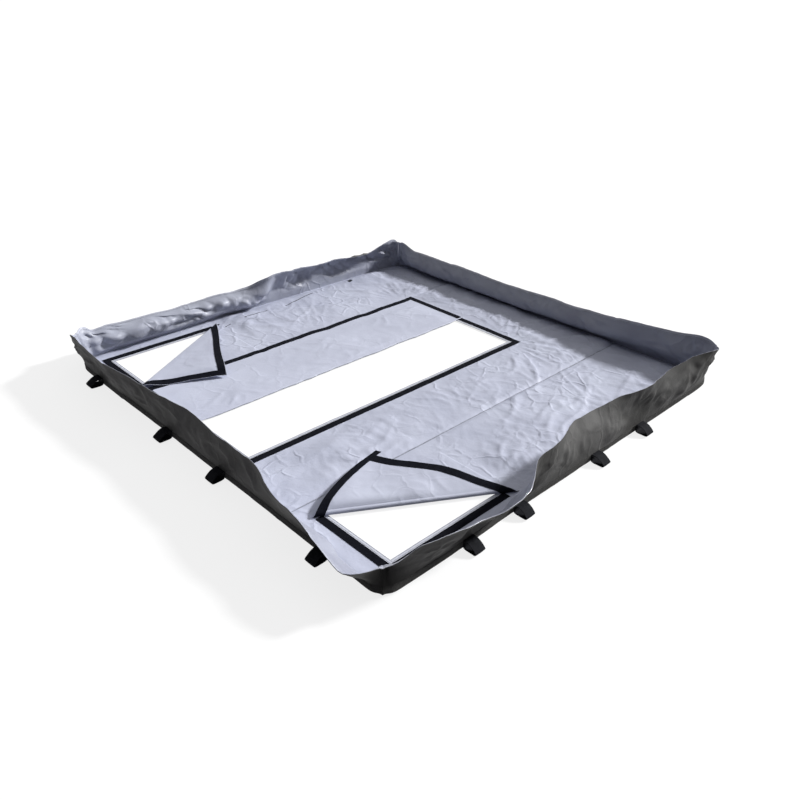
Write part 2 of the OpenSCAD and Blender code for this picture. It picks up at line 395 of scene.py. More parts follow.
SILVER = coated_fabric("silver_inside", (0.50, 0.525, 0.625), (0.455, 0.475, 0.575), (0.395, 0.415, 0.51),
                       0.50, 0.14, 1.35)
# the skirts' inside is the panel's silver, made darker here as painted shade for the shade that falls inside
# the skirts
SHADED_SILVER_LINING = coated_fabric("silver_lining_painted_shade", (0.37, 0.39, 0.46), (0.32, 0.335, 0.40), (0.255, 0.265, 0.33),
                       0.50, 0.06, 1.2)
PALE = coated_fabric("pale_flap", (0.51, 0.535, 0.635), (0.48, 0.50, 0.60), (0.44, 0.46, 0.555),
                     0.54, 0.03, 0.45)
CHARCOAL = coated_fabric("charcoal_outside",
                         (0.145, 0.143, 0.141), (0.092, 0.091, 0.089), (0.048, 0.047, 0.045),
                         0.60, 0.0, 0.8, 0.10)
SEAM = stitched("sewn_seam", (0.36, 0.38, 0.46), (0.27, 0.285, 0.35), (0.0,))
CUT_HEM = stitched("stitched_cut_edge", (0.54, 0.555, 0.62), (0.47, 0.485, 0.55), (-0.005, 0.004))
RIM = stitched("rim_hem", (0.40, 0.415, 0.49), (0.33, 0.345, 0.41), (-0.005,))
HOOK = webbing_material("hook_tape", (0.002, 0.0023, 0.0045), (0.006, 0.0068, 0.0115), 0.0022, 0.85)
LOOP = webbing_material("loop_tape", (0.0025, 0.0029, 0.0055), (0.0075, 0.0085, 0.014), 0.0030, 0.9)
WEB = webbing_material("webbing", (0.005, 0.005, 0.007), (0.018, 0.019, 0.023), 0.0042, 0.7)
# the binding along the skirts' foot is dark webbing, made a little darker than the skirt as painted shade at
# the foot
BINDING_PAINTED_SHADE = webbing_material("binding", (0.050, 0.049, 0.047), (0.085, 0.084, 0.081), 0.0040, 0.7)


# ---------------------------------------------------------------- the panel

CORNER_OPENINGS = [(OPEN_X, CORNER_X2, CORNER_Y1, CORNER_Y2), (OPEN_X, CORNER_X2, -CORNER_Y2, -CORNER_Y1)]
CENTRE_OPENING = (OPEN_X, CENTRE_X2, CENTRE_Y1, CENTRE_Y2)
FOLD_A = np.array([FLAP_X1, FLAP_Y2])
FOLD_RUN, FOLD_FALL = 0.637, 0.379
FOLD_LEN = math.hypot(FOLD_RUN, FOLD_FALL)
FOLD_D = np.array([FOLD_RUN, -FOLD_FALL]) / FOLD_LEN
FOLD_N = np.array([FOLD_FALL, FOLD_RUN]) / FOLD_LEN


def gap(x, y, box):
    """How far outside a rectangle a point is."""
    x1, x2, y1, y2 = box
    return np.hypot(np.maximum(np.maximum(x1 - x, x - x2), 0), np.maximum(np.maximum(y1 - y, y - y2), 0))


def free_to_wrinkle(x, y):
    """Near 0 along the cut edges and under the flaps, and 1 well away from them."""
    free = 0.16 + 0.84 * smooth((gap(x, y, CENTRE_OPENING) - 0.04) / 0.14)
    for box in CORNER_OPENINGS:
        free = free * (0.14 + 0.86 * smooth((gap(x, y, box) - 0.05) / 0.12))
    for mirror in (1, -1):
        p = np.stack([x, y * mirror], axis=-1) - FOLD_A
        a, q = p @ FOLD_D, p @ FOLD_N
        edge = np.minimum(a * 1.15, (FOLD_LEN - a) * 0.62)
        free = free * (1 - 0.8 * smooth((edge + 0.05 - q) / 0.07) * smooth((q + 0.05) / 0.05))
    return free


def pucker(x, y, at, seed):
    """Small cross folds that a row of stitches pulls up on both sides of y = at."""
    d = np.abs(y - at)
    return np.clip(noise(x / 0.028, y / 0.2, seed) + 0.1, 0, 1) * smooth(1.1 - d / 0.06) * smooth(d / 0.006)


def panel_height(x, y):
    h = 0.008 * (0.5 + noise(x / 0.42, y / 0.34, 11))
    h = h + 0.006 * facets(x, y, 0.26, 12) + 0.002 * facets(x, y, 0.11, 16)
    h = h + 0.0095 * creases(x, y, 21, 0.19, math.radians(-38), 3.5, 0.15)
    h = h + 0.0065 * creases(x, y, 31, 0.15, math.radians(24), 3.4, 0.12)
    h = h + 0.0038 * creases(x, y, 41, 0.085, math.radians(-66), 4.0, 0.16)
    h = h + 0.0028 * creases(x, y, 51, 0.07, math.radians(58), 3.6, 0.15)
    h = h + 0.0022 * creases(x, y, 61, 0.040, math.radians(-12), 4.0, 0.20)
    h = h + 0.006 * fan(x, y, (CENTRE_X2, CENTRE_Y1), 71, 9, 0.42)
    h = h + 0.005 * fan(x, y, (CENTRE_X2, CENTRE_Y2), 73, 9, 0.35)
    h = h + 0.006 * fan(x, y, (CORNER_X2, CORNER_Y1), 75, 8, 0.40)
    h = h + 0.007 * fan(x, y, (CORNER_X2, -CORNER_Y1), 77, 8, 0.30)
    seam = smooth(np.minimum(np.abs(y - SEAM_FRONT), np.abs(y - SEAM_BACK)) / 0.02)
    h = h * (0.35 + 0.65 * seam)
    h = h + 0.0012 * pucker(x, y, SEAM_FRONT, 81) + 0.0010 * pucker(x, y, SEAM_BACK, 82)
    side = smooth((HALF - np.maximum(np.abs(x), np.abs(y))) / 0.05)
    return 0.0012 + free_to_wrinkle(x, y) * (0.25 + 0.75 * side) * np.maximum(h, 0)


def drift(x, y):
    """The sides wander a little from their straight lines, and the corners are rounded."""
    wx = 0.008 * noise(y / 0.33, 0.5 + x * 0.2, 91) * smooth((np.abs(x) - 0.98) / 0.08)
    wy = 0.008 * noise(x / 0.33, 3.5 + y * 0.2, 93) * smooth((np.abs(y) - 0.98) / 0.08)
    for sx, sy, pull in ((-1, -1, -0.003), (1, -1, 0.015), (1, 1, 0.012), (-1, 1, 0.032)):
        drawn = pull * np.exp(-((x - sx * HALF) ** 2 + (y - sy * HALF) ** 2) / 0.075 ** 2)
        drawn = drawn + 0.016 * np.exp(-((x - sx * HALF) ** 2 + (y - sy * HALF) ** 2) / 0.034 ** 2)
        wx, wy = wx - sx * drawn, wy - sy * drawn
    return wx, wy


def panel(x, y):
    wx, wy = drift(x, y)
    return np.stack([x + wx, y + wy, panel_height(x, y)], axis=-1)


def has_cloth(x, y):
    inside = np.zeros(np.shape(x), bool)
    for box in (CENTRE_OPENING, *CORNER_OPENINGS):
        inside |= gap(x, y, box) == 0
    return ~inside


TRIM = {"front": [], "centre": [], "back": []}


def on_cover(piece, *nodes):
    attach(piece, "cover")
    if nodes:
        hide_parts(*nodes)
    return piece


x_lines = lines(-HALF, HALF, stops=(OPEN_X, CORNER_X2, CENTRE_X2))
for name, y1, y2, stops in (
    ("front", -HALF, SEAM_FRONT, (CORNER_Y1, CORNER_Y2)),
    ("centre", SEAM_FRONT, SEAM_BACK, (CENTRE_Y1, CENTRE_Y2)),
    ("back", SEAM_BACK, HALF, (-CORNER_Y1, -CORNER_Y2)),
):
    cut = rectangle(x_lines, lines(y1, y2, stops=stops))
    piece = cloth(f"panel_{name}_cloth", panel, cut, [SILVER, CHARCOAL], keep=has_cloth)
    on_cover(piece, f"panel_{name}")


def on_panel(name, corners, material, lift, thickness, *nodes):
    piece = cloth(name, panel, quad(corners), [material], lift=lift, thickness=thickness, along=0)
    y = sum(corner[1] for corner in corners) / 4
    TRIM["front" if y < SEAM_FRONT else "back" if y > SEAM_BACK else "centre"].append(piece)
    return on_cover(piece, *nodes)


def bar(x1, y1, x2, y2, width):
    """The four corners of a strip from (x1, y1) to (x2, y2), with its width to the left of the way."""
    dx, dy = x2 - x1, y2 - y1
    n = math.hypot(dx, dy)
    nx, ny = -dy / n * width, dx / n * width
    return (x1, y1), (x2, y2), (x2 + nx, y2 + ny), (x1 + nx, y1 + ny)


def box_of(node):
    lo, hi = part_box(node)
    return lo.x, lo.y, hi.x, hi.y


def tape_corners(node):
    x1, y1, x2, y2 = box_of(node)
    if x2 - x1 > y2 - y1:
        return (x1, y1), (x2, y1), (x2, y2), (x1, y2)
    return (x2, y1), (x2, y2), (x1, y2), (x1, y1)


SEAM_X, SEAM_W = HALF - 0.002, 0.004
SEAM_CORNERS = ((-SEAM_X, SEAM_FRONT - SEAM_W), (SEAM_X, SEAM_FRONT - SEAM_W),
                (SEAM_X, SEAM_FRONT + SEAM_W), (-SEAM_X, SEAM_FRONT + SEAM_W))
on_panel("panel_seam_front", SEAM_CORNERS, SEAM, 0.0004, 0.0007)

HOOK_TAPES = ("centre_hook_tape_long", "centre_hook_tape_left", "centre_hook_tape_right",
              "front_hook_tape_short", "front_hook_tape_long", "back_hook_tape_short", "back_hook_tape_long")
for node in HOOK_TAPES:
    on_panel(node + "_strip", tape_corners(node), HOOK, 0.0012, 0.0014, node)

HEM_W = TAPE_GAP - 0.001
OPENINGS = {"centre": CENTRE_OPENING, "front": CORNER_OPENINGS[0], "back": CORNER_OPENINGS[1]}
# the edges that a flap is sewn along have no hem of their own
SEWN_EDGES = {"centre": ("far",), "front": ("right", "far"), "back": ("right", "near")}
for name, (x1, x2, y1, y2) in OPENINGS.items():
    sides = {
        "left": bar(x1, y1 - HEM_W, x1, y2 + HEM_W, HEM_W),
        "near": ((x1, y1), (x2, y1), (x2, y1 - HEM_W), (x1, y1 - HEM_W)),
        "right": ((x2, y1 - HEM_W), (x2, y2 + HEM_W), (x2 + HEM_W, y2 + HEM_W), (x2 + HEM_W, y1 - HEM_W)),
        "far": ((x1, y2 + HEM_W), (x2, y2 + HEM_W), (x2, y2), (x1, y2)),
    }
    for side, corners in sides.items():
        if side not in SEWN_EDGES[name]:
            on_panel(f"{name}_opening_hem_{side}", corners, CUT_HEM, 0.0007, 0.0008)
x1, y1, x2, y2 = box_of("centre_flap_hem")
corners = ((x1, y1), (x2, y1), (x2, y2), (x1, y2))
on_panel("centre_flap_hem_strip", corners, CUT_HEM, 0.0022, 0.003, "centre_flap_hem")


# three short dark strips, each drawn with a row of stitches, and a bartack on the far panel
DARK_STRIP_CLOTH = stitched("dark_stitched_strip", (0.030, 0.031, 0.038), (0.012, 0.013, 0.017), (0.0,))
DARK_STRIPS = {
    "a": (0.080, 0.953, 0.316, 1.008, 0.0045),
    "b": (-0.188, 0.958, -0.030, 0.973, 0.004),
    "c": (-0.315, 0.948, -0.277, 0.956, 0.004),
    "d": (0.590, 1.000, 0.618, 1.004, 0.020),
}
for name, (x1, y1, x2, y2, width) in DARK_STRIPS.items():
    on_panel(f"dark_strip_{name}", bar(x1, y1, x2, y2, width), DARK_STRIP_CLOTH, 0.0010, 0.0008)


# ---------------------------------------------------------------- the skirts

# each side is walked with the outside on the right hand: start corner, way along, way out
SIDES = {
    "front": ((-1, -1), (1, 0), (0, -1)),
    "right": ((1, -1), (0, 1), (1, 0)),
    "back": ((1, 1), (-1, 0), (0, 1)),
    "left": ((-1, 1), (0, -1), (-1, 0)),
}
# how far the skirt leans out, in degrees, by X or Y along it; given in steps of 5, with the
# result of an earlier fit to the photo's outline known
LEAN = {
    "left": [(-1.07, 5), (-1.0, 45), (-0.7, 30), (-0.4, 10), (0, 0), (0.5, 20), (1.07, 15)],
    "front": [(-1.07, 5), (-0.9, 20), (-0.5, 45), (-0.3, 5), (0.1, -25), (0.45, 0), (0.7, -15), (1.07, 10)],
    "right": [(-1.07, 10), (-0.7, -10), (0.2, -20), (1.0, -15), (1.07, -10)],
    "back": [(-1.07, 15), (-0.7, 20), (-0.2, 20), (0.05, -30), (0.35, -15), (0.7, -25), (1.07, -10)],
}
# how far its lower part goes out and its upper part back, in degrees
BUCKLE = {
    "left": [(-1.07, -50), (-1.0, 0), (1.07, 0)],
    "front": [(-1.07, -50), (-0.95, -10), (-0.4, 10), (0.1, 15), (0.35, -15), (0.65, 15), (1.07, -10)],
    "right": [(-1.07, -10), (-0.8, -40), (-0.2, -70), (0.9, -70), (1.07, -20)],
    "back": [(-1.07, 0), (-0.95, -60), (-0.1, -65), (0.1, 0), (0.35, 45), (0.7, 45), (1.07, -20)],
}
CRUMPLE = {"left": 5, "front": 8, "right": 5, "back": 8}
DENTS = {"left": 0.007, "front": 0.011, "right": 0.009, "back": 0.022}
# how much lower the cloth stands at a corner, as it sags on itself
SAG = {(-1, -1): 0.16, (1, -1): 0.08, (1, 1): 0.14, (-1, 1): 0.24}
CORNER_EASE = 0.075
# where the webbing loops are sewn on, by X or Y along each side
LOOP_PLACES = {side: [joint["pos_m"][0 if side in ("front", "back") else 1] for joint in frame["joints"]
                      if joint["name"].startswith(f"webbing_loop_{side}")] for side in SIDES}


def beside_loop(side, place):
    """1 beside a webbing loop, whose seam holds the skirt's foot upright, and 0 away from the loops."""
    near = np.min([np.abs(place - at) for at in LOOP_PLACES[side]], axis=0)
    # where the foot lies inwards the loop swings clear of it anyway
    return (1 - smooth((near - 0.034) / 0.065)) * smooth(1 + eased(BUCKLE[side], place) / 40)


def skirt_surface(side):
    (cx, cy), (ax, ay), (ox, oy) = SIDES[side]
    seed = 100 + 10 * list(SIDES).index(side)

    def lean_at(place, c, t):
        hold = beside_loop(side, place)
        lean, buckle = eased(LEAN[side], place), eased(BUCKLE[side], place)
        more = 0.30 * hold * (lean > 0) * smooth(1 - np.abs(buckle) / 45)
        lean = lean * (1 + more) * smooth((t - 0.02 - 0.034 * hold) / 0.045)
        turn = t / SKIRT_H - np.where(buckle > 0, 0.08, 0) + 0.06 * noise(place / 0.35, 2.5, seed + 8)
        bend = np.tanh(2.0 * np.cos(math.pi * turn)) / math.tanh(2.0)
        buckle = buckle * bend * smooth((t - np.where(buckle > 0, 0.026 + 0.036 * hold, 0)) / 0.024)
        ends = smooth((HALF - np.abs(c)) / 0.07)
        rough = noise(c / 0.30, t / 0.15, seed) * 1.5 + 0.5 * noise(c / 0.11, t / 0.10, seed + 1)
        rough = rough * (1 - 0.9 * hold * (1 - smooth((t - 0.07) / 0.05)))
        return np.radians(lean + buckle + CRUMPLE[side] * rough * ends)

    def surface(c, t):
        c, t = np.broadcast_arrays(np.asarray(c, float), np.asarray(t, float))
        bx, by = (cx + ax) * HALF + ax * c, (cy + ay) * HALF + ay * c
        place = np.where(ax != 0, bx, by)
        steps = 14
        out, up = np.zeros_like(t), np.zeros_like(t)
        for k in range(steps):
            theta = lean_at(place, c, t * (k + 0.5) / steps)
            out += np.sin(theta) * t / steps
            up += np.cos(theta) * t / steps
        ends = smooth((HALF - np.abs(c)) / 0.07)
        dents = facets(c, t * 1.2, 0.12, seed + 2) - 0.4
        dents = dents + 1.2 * creases(c, t * 1.3, seed + 6, 0.08, math.radians(40), 2.6)
        hump = smooth((t - 0.03) / 0.05) * (1 - 0.75 * smooth((t - 0.13) / 0.06))
        calm = 1 - 0.95 * beside_loop(side, place) * (1 - smooth((t - 0.10) / 0.05))
        sway = 0.010 * noise(c / 0.26, t / 0.4, seed + 4) * smooth(t / 0.08)
        out = out + ends * calm * (sway + DENTS[side] * dents * hump)
        for end in (-1, 1):
            corner = (int(cx + ax * (end + 1)), int(cy + ay * (end + 1)))
            up = up * (1 - SAG[corner] * np.exp(-((HALF - c * end) / 0.07) ** 2))
        # at the ends the way out turns by 45 degrees to meet the next side's
        turn = np.sign(c) * math.radians(45) * smooth((np.abs(c) - (HALF - CORNER_EASE)) / CORNER_EASE)
        dx, dy = ox * np.cos(turn) + ax * np.sin(turn), oy * np.cos(turn) + ay * np.sin(turn)
        edge = panel(np.clip(bx, -HALF, HALF), np.clip(by, -HALF, HALF))
        return np.stack([edge[..., 0] + dx * out, edge[..., 1] + dy * out, edge[..., 2] + up], axis=-1)

    return surface


RIM_W = SKIRT_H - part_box("rim_hem_left")[0].z
RIM_T = SKIRT_H - 0.001
BIND_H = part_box("base_binding_left")[1].z
c_lines = lines(-HALF, HALF, 0.010)
for side in SIDES:
    surface = skirt_surface(side)
    rows = lines(0, RIM_T, FINE)
    piece = cloth(f"skirt_{side}_cloth", surface, rectangle(c_lines, rows), [CHARCOAL, SHADED_SILVER_LINING])
    on_cover(piece, f"skirt_{side}")
    rows = lines(RIM_T - RIM_W, RIM_T, FINE)
    hem = cloth(f"rim_hem_{side}_strip", surface, rectangle(c_lines, rows), [RIM],
                lift=-TRIM_LIFT, thickness=TRIM_PLY, along=0)
    on_cover(hem, f"rim_hem_{side}")
    # the binding strip: its own dark colour, with painted shade at the skirt's foot
    rows = lines(0.002, BIND_H, FINE)
    binding = cloth(f"base_binding_{side}_strip", surface, rectangle(c_lines, rows), [BINDING_PAINTED_SHADE],
                    lift=TRIM_LIFT, thickness=TRIM_PLY, along=0)
    on_cover(binding, f"base_binding_{side}")


# ---------------------------------------------------------------- the corner flaps

PEEL = math.radians(JOINT["front_corner_flap_close"]["range_deg"][1])
AXIS_Z = JOINT["front_corner_flap_close"]["pos_m"][2]
CLOSED_Z = 0.0071
RISE = math.tan(math.pi - PEEL)
PLANE_Z = AXIS_Z + (AXIS_Z - CLOSED_Z) / math.cos(math.pi - PEEL)
SEWN_Z = 0.0035
ROLL_R = (PLANE_Z - SEWN_Z) / (1 - math.cos(PEEL) + RISE * math.sin(PEEL))
ROLL = PEEL * ROLL_R
ROLL_END = ROLL + 0.003
# the cut of a corner flap: how far it reaches from the fold on the peeled and on the sewn side, where
# its edges meet the fold, and how far they move along the fold per metre away from it
CORNER_W, SEWN_DEEP = 0.3403, 0.3250
FOLD_END, LONG_END = 0.7412, 0.7745
SHORT_SLOPE, LONG_SLOPE = 0.595, 1.681


def flat_of(x, y):
    """A point of the closed flap as (way along the fold, way beyond it onto the peeled part)."""
    dx, dy = x - FOLD_A[0], y - FOLD_A[1]
    return dx * FOLD_D[0] + dy * FOLD_D[1], -(dx * FOLD_N[0] + dy * FOLD_N[1])


def flap_surface(mirror, shape):
    """shape(a, w) gives how far the peeled part leaves its plane, upwards, and its drift along and across."""

    def surface(a, w):
        over = np.clip(w / ROLL_R, 0, PEEL)
        past = np.maximum(w - ROLL, 0)
        up, along, across = shape(a, w, smooth((w - ROLL_END) / 0.05))
        q = np.where(w < 0, -w, -ROLL_R * np.sin(over) - past * math.cos(PEEL)) + across
        x = FOLD_A[0] + FOLD_D[0] * (a + along) + FOLD_N[0] * q
        y = (FOLD_A[1] + FOLD_D[1] * (a + along) + FOLD_N[1] * q) * mirror
        # the sewn part runs into the panel along its seams
        border = np.minimum(FLAP_X2 - x, FLAP_Y2 - y * mirror)
        low = SEWN_Z + 0.0012 * noise(a / 0.05, w / 0.05, 141) * smooth(-w / 0.03)
        seam = panel_height(x, y) - 0.0012 + 0.0024 * smooth(border / 0.013)
        low = seam + (low - seam) * np.where(w < 0, smooth((border - 0.014) / 0.05), 1)
        z = np.where(w < 0, low, SEWN_Z + ROLL_R * (1 - np.cos(over)) + past * math.sin(PEEL) + up)
        return np.stack([x, y, z], axis=-1)

    return surface


def front_shape(a, w, on):
    """The near flap: drawn towards the middle, its long edge arched and its point low."""
    s = np.maximum(w - ROLL_END, 0) / (CORNER_W - ROLL_END)
    arch = np.exp(-(((a - 0.52) / 0.16) ** 2)) * smooth(s * 2.2)
    up = 0.016 * arch - 0.016 * s ** 2
    up = up + 0.010 * np.exp(-(((a - 0.15) / 0.09) ** 2)) * smooth(s * 1.6) * (1 - s)
    up = up + 0.007 * noise(a / 0.16, w / 0.13, 151)
    up = up + 0.004 * creases(a, w, 153, 0.12, math.radians(-30), 3.0)
    up = up + 0.0010 * noise(a / 0.035, w / 0.035, 155)
    # behind the fold the cloth swells before it lies down
    past = np.maximum(w - ROLL_END, 0)
    swell = (1 - np.exp(-past / 0.017)) * np.exp(-((past / 0.085) ** 2)) * smooth(a / 0.10)
    swell = swell * (0.019 - 0.012 * smooth((a - 0.36) / 0.10) + 0.004 * noise(a / 0.09, 2.2, 157))
    return on * up + swell, 0.066 * s ** 2.4, -0.022 * s ** 1.3 + 0.024 * arch


def back_shape(a, w, on):
    """The far flap: almost flat, its short edge bent down towards the flap that it lies on."""
    s = np.maximum(w - ROLL_END, 0) / (CORNER_W - ROLL_END)
    short_edge = (a - SHORT_SLOPE * w) * FOLD_D[0]
    up = 0.006 * noise(a / 0.17, w / 0.14, 161) + 0.005 * creases(a, w, 163, 0.12, math.radians(60), 3.0)
    up = up - 0.004 * s - 0.022 * smooth(1 - short_edge / 0.07) * smooth(s * 3)
    up = up + 0.0010 * noise(a / 0.04, w / 0.04, 165)
    return on * up, 0.010 * s, 0.004 * np.sin(w * 22)


def ruled(low, high, rows, n):
    """A cut whose rows run from low(w) to high(w)."""
    share, w = np.meshgrid(np.linspace(0, 1, n), rows, indexing="ij")
    return low(w) * (1 - share) + high(w) * share, w


def low_edge(w):
    return np.where(w > 0, SHORT_SLOPE * w, -LONG_SLOPE * w)


def high_edge(w):
    end = FOLD_END + SHORT_SLOPE * w
    return np.where(w > 0, np.minimum(LONG_END - LONG_SLOPE * w, end), end)


def corner_flap(side, mirror, shape):
    """The sewn part with the roll, the peeled part, and the loop tapes on the peeled part."""
    surface = flap_surface(mirror, shape)
    body = f"{side}_corner_flap"
    faces = [PALE, SILVER] if mirror == 1 else [SILVER, PALE]
    rows = np.concatenate([lines(-SEWN_DEEP, -0.006), lines(-0.006, ROLL_END, 0.0025)[1:]])
    fold = cloth(f"{side}_flap_sewn_part_cloth", surface, ruled(low_edge, high_edge, rows, 84), faces)
    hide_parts(f"{side}_flap_sewn_part")
    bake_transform(fold)

    def peeled(name, cut, materials, lift, thickness, along, *nodes):
        piece = cloth(name, surface, cut, materials, lift=lift * mirror, thickness=thickness, along=along)
        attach(piece, body)
        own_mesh(piece)
        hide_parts(*nodes)
        return piece

    rows = lines(ROLL_END, CORNER_W - 0.0005, 0.007)
    nodes = [f"{side}_flap_peeled_part"] + (["back_flap_tip"] if side == "back" else [])
    cut = ruled(low_edge, high_edge, rows, 84)
    main = peeled(f"{side}_flap_peeled_part_cloth", cut, faces, 0.0, PLY, None, *nodes)

    def flat(x, y):
        a, w = flat_of(np.array(x), np.array(y))
        return float(a), float(w)

    def beside(edge, w):
        """Where a line at X or Y = edge crosses the row w, along the fold."""
        if edge in (short_in, short_out):
            return (edge - FLAP_X1 + FOLD_N[0] * w) / FOLD_D[0], w
        return (edge - FLAP_Y2 + FOLD_N[1] * w) / FOLD_D[1], w

    start = ROLL_END - 0.004
    short_in, short_out = FLAP_X1 + TAPE_TO, FLAP_X1 + TAPE_FROM
    low_y, high_y = FLAP_Y1 + TAPE_FROM, FLAP_Y1 + TAPE_TO
    tail = 0.026 if side == "front" else 0.0
    short = [beside(short_out, start), flat(short_out, low_y - tail),
             flat(short_in, low_y - tail), beside(short_in, start)]
    long = [flat(short_in, low_y), beside(low_y, start), beside(high_y, start), flat(short_in, high_y)]
    for name, out, inner in (("short", short_out, short_in), ("long", low_y, high_y)):
        corners = [beside(out, 0.001), beside(out, start + 0.004),
                   beside(inner, start + 0.004), beside(inner, 0.001)]
        turn = cloth(f"{side}_loop_tape_{name}_turn", surface, quad(corners, 0.004), [LOOP],
                     lift=0.0011 * mirror, thickness=TRIM_PLY, along=0)
        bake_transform(turn)
    names = {"front": ("front_loop_tape_short", "front_loop_tape_long"),
             "back": ("back_loop_tape_tip", "back_loop_tape")}[side]
    tapes = [peeled(f"{side}_loop_tape_{name}_strip", quad(corners, FINE), [LOOP], 0.0014, 0.0014, 0, node)
             for name, corners, node in (("short", short, names[0]), ("long", long, names[1]))]


corner_flap("front", 1, front_shape)
corner_flap("back", -1, back_shape)


# ---------------------------------------------------------------- the centre flap

LOWER = CENTRE_FLAP[1].y - (FOLD_Y + 0.004)
FOLD_R = 0.0043
TURN = math.pi * FOLD_R
UPPER = 0.3990
EDGE_Z = 0.0083
TOP = LOWER + TURN
CF_X1, CF_X2 = CENTRE_FLAP[0].x, CENTRE_FLAP[1].x


def centre_flap(x, v):
    """v runs down the cloth from the hinge seam, round the fold and back up on top."""
    theta = np.clip((v - LOWER) / FOLD_R, 0, math.pi)
    past = np.maximum(v - LOWER - TURN, 0)
    # the ends lie on tape, and the middle sags into the opening
    free = smooth((CF_X2 - 0.05 - x) / 0.07) * smooth((x - CF_X1 - 0.05) / 0.07)
    low_z = 0.0063 - 0.0045 * smooth(v / 0.12) * free
    radius = 0.0010 + 0.0033 * free
    y = np.where(v < LOWER, CENTRE_FLAP[1].y - v, FOLD_Y + 0.004 - radius * np.sin(theta) + past * 0.992)
    loose = free * smooth(past / 0.04) * smooth((UPPER - past - 0.03) / 0.07)
    wrinkle = 0.0034 * creases(x, y, 171, 0.11, math.radians(-50), 2.6)
    wrinkle = wrinkle + 0.0030 * creases(x, y, 173, 0.08, math.radians(20), 2.6)
    wrinkle = wrinkle + 0.0018 * (0.5 + noise(x / 0.17, y / 0.15, 175))
    wrinkle = wrinkle + 0.0010 * noise(x / 0.05, y / 0.05, 177)
    # the free edge comes down to the height at which it will lie on the panel's tapes
    edge = smooth((past - 0.25) / 0.08)
    z = (low_z + radius * (1 - np.cos(theta))) * (1 - edge) + EDGE_Z * edge
    z = z + loose * (1 - edge) * np.clip(wrinkle, 0, 0.0052)
    z = z + 0.0012 * noise(x / 0.05, 0.3, 179) * np.sin(theta)
    hem = smooth((v - LOWER - TURN - 0.30) / 0.08)
    bent = smooth((v - LOWER + 0.05) / 0.05)
    wander = 0.007 * noise(x / 0.16, 5.2, 183) + 0.004 * noise(x / 0.045, 6.2, 185)
    return np.stack([x, y + hem * 0.010 * noise(x / 0.11, 1.7, 181) + bent * wander, z], axis=-1)


v_lines = np.concatenate([lines(0, LOWER, 0.009), lines(LOWER, TOP, 0.0016)[1:],
                          lines(TOP, TOP + UPPER, 0.007)[1:]])
cf_lines = lines(CF_X1, CF_X2, FINE)
flap = cloth("centre_flap_cloth", centre_flap, rectangle(cf_lines, v_lines), [PALE, SILVER])
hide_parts("centre_flap_sewn_half", "centre_flap_free_half")
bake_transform(flap)

along_edge = lines(CF_X1 + TAPE_FROM, CF_X2 - TAPE_FROM, FINE)
at_right = lines(CF_X2 - TAPE_TO, CF_X2 - TAPE_FROM, FINE)
at_left = lines(CF_X1 + TAPE_FROM, CF_X1 + TAPE_TO, FINE)
edge_rows = lines(TOP + UPPER - TAPE_TO, TOP + UPPER - TAPE_FROM, FINE)
free_rows = lines(TOP + 0.004, TOP + UPPER - 0.036, FINE)
sewn_rows = lines(0.018, LOWER - 0.006, FINE)
for name, columns, rows, half, node in (
    ("centre_loop_tape_long_strip", along_edge, edge_rows, "free", "centre_loop_tape_long"),
    ("centre_loop_tape_free_right", at_right, free_rows, "free", "centre_loop_tape_free_half"),
    ("centre_loop_tape_free_left", at_left, free_rows, "free", "centre_loop_tape_free_half"),
    ("centre_loop_tape_sewn_right", at_right, sewn_rows, "sewn", "centre_loop_tape_sewn_half"),
    ("centre_loop_tape_sewn_left", at_left, sewn_rows, "sewn", "centre_loop_tape_sewn_half"),
):
    piece = cloth(name, centre_flap, rectangle(columns, rows), [LOOP],
                  lift=TRIM_LIFT, thickness=TRIM_PLY, along=0 if "long" in name else 1)
    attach(piece, f"centre_flap_{half}_half")
    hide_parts(node)


# ---------------------------------------------------------------- the webbing loops

def loop_profile(seed):
    """The webbing's way, as (out from the skirt, up): out, down to the ground and back in."""
    rng = np.random.default_rng(seed)
    rise, reach = rng.uniform(-0.002, 0.002), rng.uniform(0.056, 0.061)
    points = [(0.0005, 0.034), (0.010, 0.0352 + rise * 0.4), (0.022, 0.0338 + rise), (0.034, 0.0290 + rise),
              (0.045, 0.0215 + rise), (reach - 0.003, 0.0130), (reach, 0.0085), (reach - 0.0015, 0.0045),
              (reach - 0.007, 0.0018), (0.036, 0.0013), (0.014, 0.0015), (0.004, 0.0035), (0.0012, 0.010),
              (0.0006, 0.022), (0.0005, 0.034)]
    return np.array(points)


def resample(points, n):
    d = np.concatenate([[0], np.cumsum(np.linalg.norm(np.diff(points, axis=0), axis=1))])
    s = np.linspace(0, d[-1], n)
    return s, np.stack([np.interp(s, d, points[:, k]) for k in range(points.shape[1])], axis=1)


